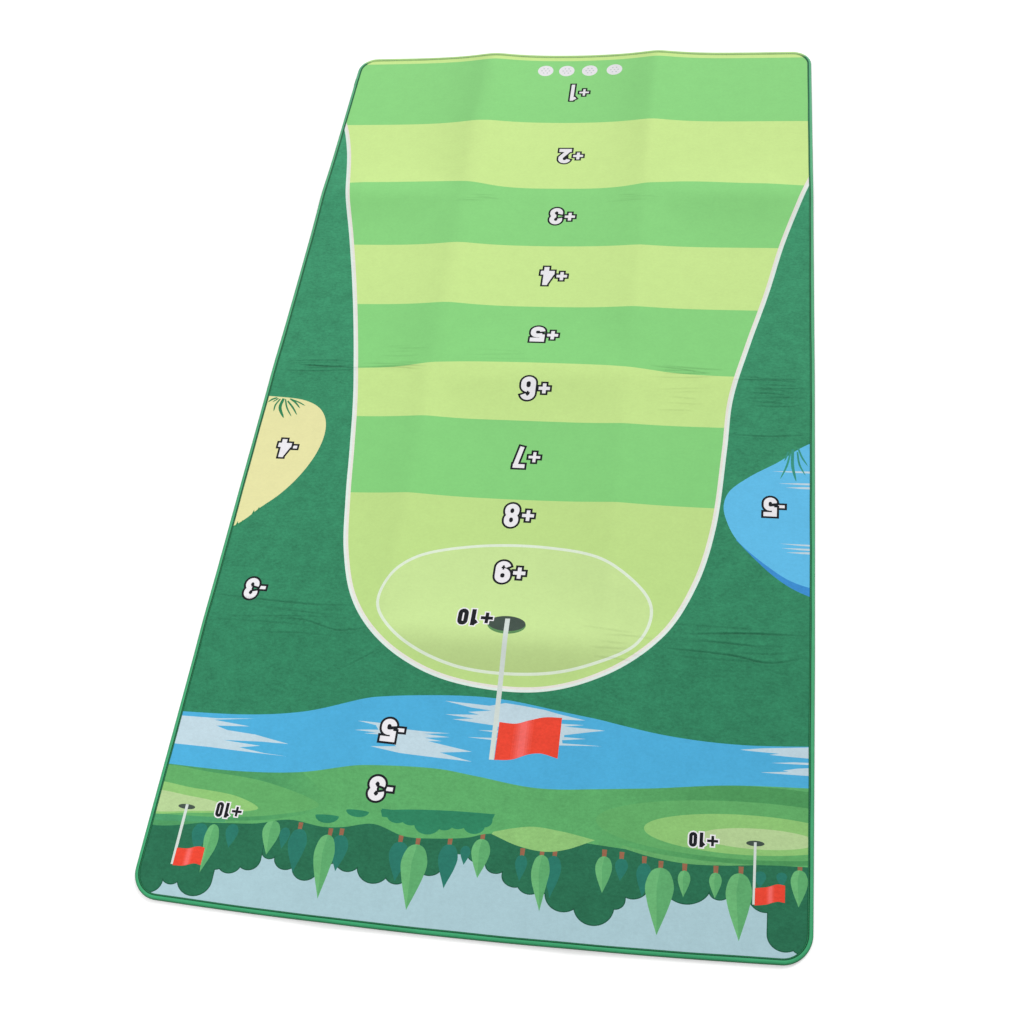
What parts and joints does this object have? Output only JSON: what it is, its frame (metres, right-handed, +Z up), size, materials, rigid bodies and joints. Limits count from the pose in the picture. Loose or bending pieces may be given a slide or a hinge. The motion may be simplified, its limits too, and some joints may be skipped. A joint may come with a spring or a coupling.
{
  "type": "putting practice mat",
  "caption": "Thin rectangular fabric mat with rounded corners, a printed green with scoring zones, a soft foam core, a non-slip dotted back and a bound edge; folds across its middle.",
  "frame": {"origin": "on the floor, under the centre of the mat's outline", "axes": "+Y from the player's end to the end with the big flag, +X to the player's right, +Z up out of the printed face"},
  "size_m": [0.8, 1.5, 0.0051],
  "materials": {
    "printed_face": "short brushed pile, printed",
    "foam": "open-cell polyurethane foam",
    "backing": "plain knitted cloth",
    "grip_dots": "matt",
    "binding": "woven polyester tape, slight sheen",
    "thread": "polyester sewing thread"
  },
  "bodies": {
    "tee_half": {"printed_face_tee": "printed_face", "foam_core_tee": "foam", "backing_cloth_tee": "backing", "grip_dots_tee": "grip_dots", "edge_binding_tee": "binding", "needle_thread_tee": "thread", "bobbin_thread_tee": "thread"},
    "flag_half": {"printed_face_flag": "printed_face", "foam_core_flag": "foam", "backing_cloth_flag": "backing", "grip_dots_flag": "grip_dots", "edge_binding_flag": "binding", "needle_thread_flag": "thread", "bobbin_thread_flag": "thread"}
  },
  "joints": [
    {"name": "fold", "type": "hinge", "parent": "tee_half", "child": "flag_half", "pos_m": [0, -0.04, 0.0156], "axis": [1, 0, 0], "range_deg": [0, 180]}
  ]
}
